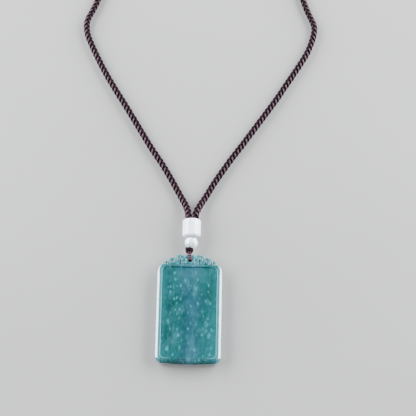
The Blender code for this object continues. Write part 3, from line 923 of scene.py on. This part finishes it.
def cord_material(name, colours):
    """Silky fibre: painted shade, near black, in the gaps between strands, with fine streaks along each
    strand.
    """
    n = Nodes(name)
    height = n.attribute("height")
    along = n.stretched(n.attribute("fibre", "Vector"), (0.6, 4.0, 4.0))
    fibres = n.noise(along, 1.6, detail=2)
    # Painted shade: the colour goes near black towards the gaps between strands
    depth = n.ramp(height, list(zip(CORD_DEPTHS, colours)))
    streaks = n.grey_ramp(fibres, (0.38, 0.50), (0.62, 1.0))
    n.set(
        Base_Color=n.mix(1.0, depth, streaks, "MULTIPLY"),
        Roughness=0.60,
        Specular_Tint=(1.0, 0.72, 0.80, 1.0),
        Specular_IOR_Level=n.grey_ramp(height, (0.60, 0), (0.97, 0.16)),
        Normal=n.bump(fibres, strength=0.35, distance=0.00008),
    )
    return n.material


def floor_material():
    """A pale, faintly mottled floor."""
    n = Nodes("pale_floor")
    mottle = n.noise(n.place(), 9, detail=2)
    colour = n.ramp(mottle, ((0.3, (0.219, 0.208, 0.200)), (0.7, (0.229, 0.218, 0.210))))
    n.set(Base_Color=colour, Roughness=0.75)
    return n.material


# Plaque


def outline(half, low, high, bow, corner, shoulder):
    """A slab's outline from the middle of its lower edge, anticlockwise, always of as many points."""
    bow_end = half - corner
    lower = [(bow_end * i / BOW_STEPS, low + bow * (i / BOW_STEPS) ** 2) for i in range(BOW_STEPS)]
    lower_corner = arc((bow_end, low + bow + corner), (corner, corner), -90, 0, CORNER_STEPS)
    upper_corner = arc((half - shoulder[0], high - shoulder[1]), shoulder, 0, 90, CORNER_STEPS)
    right = lower + lower_corner + upper_corner
    return right + mirrored(right)[:-1]


def body_outline():
    """The outline of the plaque without its crest."""
    shoulder = (SHOULDER_WIDTH, SHOULDER_HEIGHT)
    return outline(HALF_WIDTH, LOWER_EDGE, SHOULDER_LINE, LOWER_BOW, LOWER_CORNER, shoulder)


def field_outline(grow):
    """The sunk field's outline, grown outwards by this much."""
    corner = FIELD_CORNER + grow
    return outline(FIELD_SIDE + grow, FIELD_FOOT - grow, FIELD_TOP + grow, 0.0, corner, (corner, corner))


def edge_width(y):
    """The front bevel's width: full along the sides and the foot, and small along the top."""
    share = ease((SHOULDER_LINE - y) / SHOULDER_HEIGHT)
    return TOP_EDGE_WIDTH + (EDGE_WIDTH - TOP_EDGE_WIDTH) * share


def edge_profile():
    """(inset, drop) points of the front bevel, from its foot to its top, as shares of its width."""
    foot = EDGE_TILTS[1][0]
    shares = [i / EDGE_FOOT_STEPS * foot for i in range(EDGE_FOOT_STEPS + 1)]
    shares += [foot + (1 - foot) * i / EDGE_STEPS for i in range(1, EDGE_STEPS + 1)]
    places, tilts = zip(*EDGE_TILTS)
    slopes = np.tan(np.radians(np.interp(shares, places, tilts)))
    drops = [0.0]
    for i in range(len(shares) - 1, 0, -1):
        drops.append(drops[-1] + (shares[i] - shares[i - 1]) * (slopes[i] + slopes[i - 1]) / 2)
    return list(zip(shares, reversed(drops)))


def inset_ring(points, depth_at, height_at):
    """The outline moved inwards by depth_at(y) at each of its points, and up to height_at(y)."""
    ring = []
    for i, (x, y) in enumerate(points):
        before = Vector(points[i - 1])
        after = Vector(points[(i + 1) % len(points)])
        along = (after - before).normalized()
        depth = depth_at(y)
        ring.append((x - along.y * depth, y + along.x * depth, height_at(y)))
    return ring


def plaque_body():
    """The rounded slab with its raised frame and sunk field, as one loft."""
    edge = body_outline()
    rings = []
    for i in range(BACK_STEPS + 1):
        angle = math.radians(90 * (1 - i / BACK_STEPS))
        depth = BACK_ROUNDING * (1 - math.cos(angle))
        height = BACK_ROUNDING * (1 - math.sin(angle))
        rings.append(inset_ring(edge, lambda y: depth, lambda y: height))
    for inset, drop in edge_profile():
        ring = inset_ring(edge, lambda y: edge_width(y) * inset, lambda y: THICKNESS - edge_width(y) * drop)
        rings.append(ring)
    rings.append([(x, y, THICKNESS) for x, y in field_outline(FIELD_SLOPE)])
    rings.append([(x, y, FIELD_LEVEL) for x, y in field_outline(0.0)])
    return loft("plaque_jade", rings)


def lobe_places():
    """(x, y, radius, thickness, side) of the crest's lobes, from the middle outwards."""
    places = [(0.0, CREST_TOP - MIDDLE_LOBE_RADIUS, MIDDLE_LOBE_RADIUS, MIDDLE_LOBE_THICKNESS, 0)]
    for share_x, share_y, radius, thickness in SIDE_LOBES:
        for side in (-1, 1):
            x = side * share_x * CREST_HALF
            places.append((x, SHOULDER_LINE + share_y * CREST_RISE, radius, thickness, side))
    return places


def volute(x, y, reach, side):
    """Points of one spiral and its eye's place."""
    share = np.linspace(0, 1, VOLUTE_POINTS)
    angle = math.radians(VOLUTE_START) + share * VOLUTE_TURNS * math.tau
    radius = reach * (1 - (1 - VOLUTE_INNER_SHARE) * share)
    return np.stack([x + side * radius * np.cos(angle), y + radius * np.sin(angle)], axis=1), (x, y)


def carved_depth(points, volutes):
    """How far the spirals and their eyes are cut down at these points of a lobe's front."""
    depth = np.zeros(len(points))
    for line, eye in volutes:
        away = np.linalg.norm(points[:, None] - line[None], axis=2).min(axis=1) / GROOVE_HALF_WIDTH
        depth = np.maximum(depth, GROOVE_DEPTH * np.clip(1 - away**2, 0, 1) ** 1.5)
        away = np.linalg.norm(points - np.array(eye), axis=1) / EYE_HALF_WIDTH
        depth = np.maximum(depth, EYE_DEPTH * np.clip(1 - away**2, 0, 1) ** 1.5)
    return depth


def lobe(name, place, volutes):
    """One cloud lobe: a low pillow with a rounded rim, carved with its volutes."""
    x, y, radius, thickness, side = place
    segments = MIDDLE_LOBE_SEGMENTS if side == 0 else LOBE_SEGMENTS
    top = CREST_MIDDLE + thickness / 2
    bottom = CREST_MIDDLE - thickness / 2
    flat = radius - LOBE_RIM
    profile = []
    back = LOBE_BACK_ROUNDING
    for reach, height in arc((radius - back, back), (back, back), -90, 0, steps=4):
        profile.append((reach, bottom + height))
    for reach, height in arc((flat, -LOBE_RIM), (LOBE_RIM, LOBE_RIM), 0, 90, steps=10):
        profile.append((reach, top - LOBE_DOME + height))
    count = round(flat / LOBE_RING_STEP)
    for i in range(1, count):
        reach = flat * (1 - i / count)
        profile.append((reach, top - LOBE_DOME * (reach / flat) ** 2))
    rings = []
    angles = np.linspace(0, math.tau, segments, endpoint=False)
    for reach, height in profile:
        points = np.stack([x + reach * np.cos(angles), y + reach * np.sin(angles)], axis=1)
        z = np.full(segments, height)
        if height > CREST_MIDDLE:
            z = z - carved_depth(points, volutes)
        rings.append([(px, py, pz) for (px, py), pz in zip(points, z)])
    return loft(name, rings)


def crest_web():
    """The thinner plate behind the lobes, which ties them to the body."""
    points = [(x, y) for x, y, _, _, side in lobe_places() if side == 1]
    points.sort(reverse=True)
    root = SHOULDER_LINE - TOP_FRAME_WIDTH / 2
    right = [(points[0][0], root)] + points + [(0.0, SHOULDER_LINE + WEB_RISE)]
    loop = right + mirrored(right)[1:]
    low = CREST_MIDDLE - WEB_THICKNESS / 2
    return loft("crest_web", [[(x, y, z) for x, y in loop] for z in (low, low + WEB_THICKNESS)])


def hole_drill():
    """The drill for the hole, with a small flare at both faces of the middle lobe."""
    radius = HOLE_DIAMETER / 2
    top = CREST_MIDDLE + MIDDLE_LOBE_THICKNESS / 2
    bottom = CREST_MIDDLE - MIDDLE_LOBE_THICKNESS / 2
    flare = []
    for a in HOLE_FLARE_ANGLES:
        flare.append((radius + HOLE_FLARE * (1 - math.sin(a)), HOLE_FLARE * (1 - math.cos(a))))
    profile = [(radius + HOLE_FLARE, bottom - DRILL_OVERLAP)]
    profile += [(reach, bottom + depth) for reach, depth in flare]
    profile += [(reach, top - depth) for reach, depth in reversed(flare)]
    profile.append((radius + HOLE_FLARE, top + DRILL_OVERLAP))
    rings = []
    for reach, z in profile:
        ring = [(reach * math.cos(a), HOLE_Y + reach * math.sin(a), z) for a in turns(HOLE_SEGMENTS)]
        rings.append(ring)
    return loft("hole_drill", rings)


def lobe_shares(points):
    """How near these points are to a seam between two lobes, and to a lobe's raised rim, as two shares.
    A lobe lies over those further out, which are thinner, and comes before them in the list."""
    seam = np.zeros(len(points))
    rim = np.zeros(len(points))
    away = [np.linalg.norm(points - np.array(place[:2]), axis=1) - place[2] for place in lobe_places()]
    for i in range(len(away)):
        shown = np.ones(len(points), bool)
        for other in away[:i]:
            shown &= other > 0
        over_another = np.zeros(len(points), bool)
        for other in away[i + 1 :]:
            over_another |= other < SEAM_HALF_WIDTH
        line = np.clip(1 - (away[i] / SEAM_HALF_WIDTH) ** 2, 0, 1)
        seam = np.maximum(seam, line * shown * over_another)
        line = np.clip(1 - ((away[i] + RIM_INSET) / RIM_HALF_WIDTH) ** 2, 0, 1)
        rim = np.maximum(rim, line * shown)
    return seam, rim


def hole_share(points):
    """How near these points are to the hole's mouth, as a share."""
    away = np.linalg.norm(points - np.array((0.0, HOLE_Y)), axis=1) - HOLE_DIAMETER / 2
    return np.clip(2 - 2 * away / HOLE_FLARE, 0, 1)


def mark_painted_shade(mesh, volutes):
    """How much painted shade each point of the crest's front gets, as a share, for the material: in the
    spirals by how deep they are carved, in the seams between lobes and at the hole's mouth. A lobe's raised
    rim is below 0, for its painted highlight."""
    points = np.empty(len(mesh.vertices) * 3)
    mesh.vertices.foreach_get("co", points)
    points = points.reshape(-1, 3)
    share = np.zeros(len(points))
    front = (points[:, 1] > SHOULDER_LINE) & (points[:, 2] > CREST_MIDDLE)
    flat = points[front][:, :2]
    spirals = carved_depth(flat, volutes) / GROOVE_DEPTH
    seam, rim = lobe_shares(flat)
    # Painted shade in the spirals, seams and hole's mouth; the rims below 0 get a painted highlight
    cut = np.maximum(np.maximum(spirals * SPIRAL_SHADE, seam), hole_share(flat))
    share[front] = np.where(cut > LEAST_CUT_SHADE, cut, -rim)
    attribute = mesh.attributes.new("carved", "FLOAT", "POINT")
    attribute.data.foreach_set("value", np.clip(share, -1, 1))


def combine(base, helpers):
    """Join or cut the base with each helper in turn, and remove the helpers."""
    for helper, operation in helpers:
        modifier = base.modifiers.new(helper.name, "BOOLEAN")
        modifier.operation = operation
        modifier.solver = "EXACT"
        modifier.object = helper
    bpy.context.view_layer.update()
    graph = bpy.context.evaluated_depsgraph_get()
    mesh = bpy.data.meshes.new_from_object(base.evaluated_get(graph))
    base.modifiers.clear()
    base.data = mesh
    for helper, _ in helpers:
        bpy.data.objects.remove(helper)
    mesh.polygons.foreach_set("use_smooth", [True] * len(mesh.polygons))
    mesh.set_sharp_from_angle(angle=math.radians(CARVING_SHARP_ANGLE))


def make_plaque():
    """The whole plaque: its body and crest in one piece, carved and drilled."""
    plaque = plaque_body()
    helpers = [(crest_web(), "UNION")]
    all_volutes = []
    for i, place in enumerate(lobe_places()):
        x, y, radius, _, side = place
        if side:
            volutes = [volute(x, y + radius * VOLUTE_RISE_SHARE, radius * VOLUTE_SHARE, side)]
        else:
            beside = HOLE_Y - HOLE_DIAMETER / 2
            volutes = [volute(turn * HOLE_TO_VOLUTE, beside, MIDDLE_VOLUTE_REACH, turn) for turn in (-1, 1)]
        helpers.append((lobe(f"crest_lobe_{i}", place, volutes), "UNION"))
        all_volutes += volutes
    helpers.append((hole_drill(), "DIFFERENCE"))
    combine(plaque, helpers)
    mark_painted_shade(plaque.data, all_volutes)
    return dressed(plaque, "plaque", jade_material())


# Beads


def turned_bead(name, node, slot, profile, middle, material, segments):
    """A bead turned about Y, with its bore; the profile holds (radius, place along the axis)."""
    rings = []
    for radius, along in profile:
        ring = []
        for angle in turns(segments):
            x = middle.x + radius * math.cos(angle)
            z = middle.z - radius * math.sin(angle)
            ring.append((x, middle.y + along, z))
        rings.append(ring)
    bead = loft(name, rings, hollow=True, smooth_angle=BEAD_SHARP_ANGLE)
    return dressed(bead, node, material)


def make_barrel():
    """The barrel bead, with a dish round its bore at each end."""
    half = BARREL_HALF_LENGTH
    edge = BARREL_RADIUS - BARREL_ROUNDING
    rounding = (BARREL_ROUNDING, BARREL_ROUNDING)
    dish = BARREL_DISH_RADIUS - BARREL_BORE_RADIUS
    profile = arc((edge, half - BARREL_ROUNDING), rounding, 90, 0, steps=10)
    profile += arc((edge, BARREL_ROUNDING - half), rounding, 0, -90, steps=10)
    profile += arc((BARREL_DISH_RADIUS, dish - half), (dish, dish), -90, -180, steps=8)
    profile += arc((BARREL_DISH_RADIUS, half - dish), (dish, dish), 180, 90, steps=8)
    names = ("barrel_white_bead", "barrel_bead", "white_jade")
    return turned_bead(*names, profile, BARREL_MIDDLE, white_jade_material(), segments=96)


def make_round():
    """The round bead, with a flared mouth at each end of its bore."""
    mouth = math.acos(ROUND_MOUTH_RADIUS / ROUND_RADIUS)
    flare = ROUND_MOUTH_RADIUS - ROUND_BORE_RADIUS
    end = ROUND_RADIUS * math.sin(mouth)
    tilt = math.degrees(mouth)
    profile = arc((0, 0), (ROUND_RADIUS, ROUND_RADIUS), tilt, -tilt, steps=40)
    profile += arc((ROUND_MOUTH_RADIUS, flare - end), (flare, flare), -90, -180, steps=5)[1:]
    profile += arc((ROUND_MOUTH_RADIUS, end - flare), (flare, flare), 180, 90, steps=5)[:-1]
    names = ("round_pale_bead", "round_bead", "pale_jade")
    return turned_bead(*names, profile, ROUND_MIDDLE, pale_jade_material(), segments=80)


# Scene


def make_camera():
    """The photograph's camera."""
    data = bpy.data.cameras.new("photo_camera")
    data.lens = CAMERA_LENS
    data.clip_start, data.clip_end = CAMERA_CLIP
    camera = link("photo_camera", data)
    tilt = Matrix.Rotation(math.radians(90 - CAMERA_ELEVATION), 4, "X")
    roll = Matrix.Rotation(math.radians(CAMERA_ROLL), 4, "Z")
    camera.matrix_world = Matrix.Translation(CAMERA_PLACE) @ tilt @ roll
    bpy.context.scene.camera = camera


def area_light(name, place, aim, size, power, colour=(1.0, 1.0, 1.0)):
    """A soft panel of this width and height, turned from its place to its aim."""
    data = bpy.data.lights.new(name, "AREA")
    data.shape = "RECTANGLE"
    data.size, data.size_y = size
    data.energy = power
    data.color = colour
    light = link(name, data)
    light.location = place
    light.rotation_euler = (Vector(aim) - Vector(place)).to_track_quat("-Z", "Y").to_euler()


def make_lights():
    """The soft panels and the room."""
    x, y, z = PANEL_PLACE
    for name, side in (("left_softbox", -1), ("right_softbox", 1)):
        area_light(name, (side * x, y, z), PANEL_AIM, PANEL_SIZE, PANEL_POWER, PANEL_COLOUR)
    area_light("far_softbox", **FAR_PANEL)
    world = bpy.data.worlds.new("studio")
    world.use_nodes = True
    background = world.node_tree.nodes["Background"].inputs
    background["Color"].default_value = ROOM_COLOUR
    background["Strength"].default_value = ROOM_STRENGTH
    bpy.context.scene.world = world


def make_floor():
    """The floor, a flat square."""
    corners = [(x * FLOOR_HALF, y * FLOOR_HALF, 0) for x, y in ((-1, -1), (1, -1), (1, 1), (-1, 1))]
    floor = new_object("floor", corners, [(0, 1, 2, 3)])
    floor.location.z = -FLOOR_GAP
    floor.data.materials.append(floor_material())


make_camera()

cord_finish = cord_material("maroon_braid", BRAID_COLOURS)
thread_finish = cord_material("maroon_thread", THREAD_COLOURS)
loop_finish = cord_material("mauve_thread", LOOP_COLOURS)
left_cord, left_path = make_cord("left", LEFT_ROUTE, cord_finish)
right_cord, right_path = make_cord("right", RIGHT_ROUTE, cord_finish)
left_end_knot = make_end_knot("left", cord_finish)
right_end_knot = make_end_knot("right", cord_finish)
strung = [make_barrel(), make_round(), make_bead_thread(thread_finish), make_pendant_knot(thread_finish)]
strung += [make_hanging_loop(loop_finish), make_sliding_knot(cord_finish)]
for cord, path, pieces in (
    (left_cord, left_path, strung + [left_end_knot]),
    (right_cord, right_path, [right_end_knot]),
):
    length_of(path)

make_plaque()
make_floor()
make_lights()
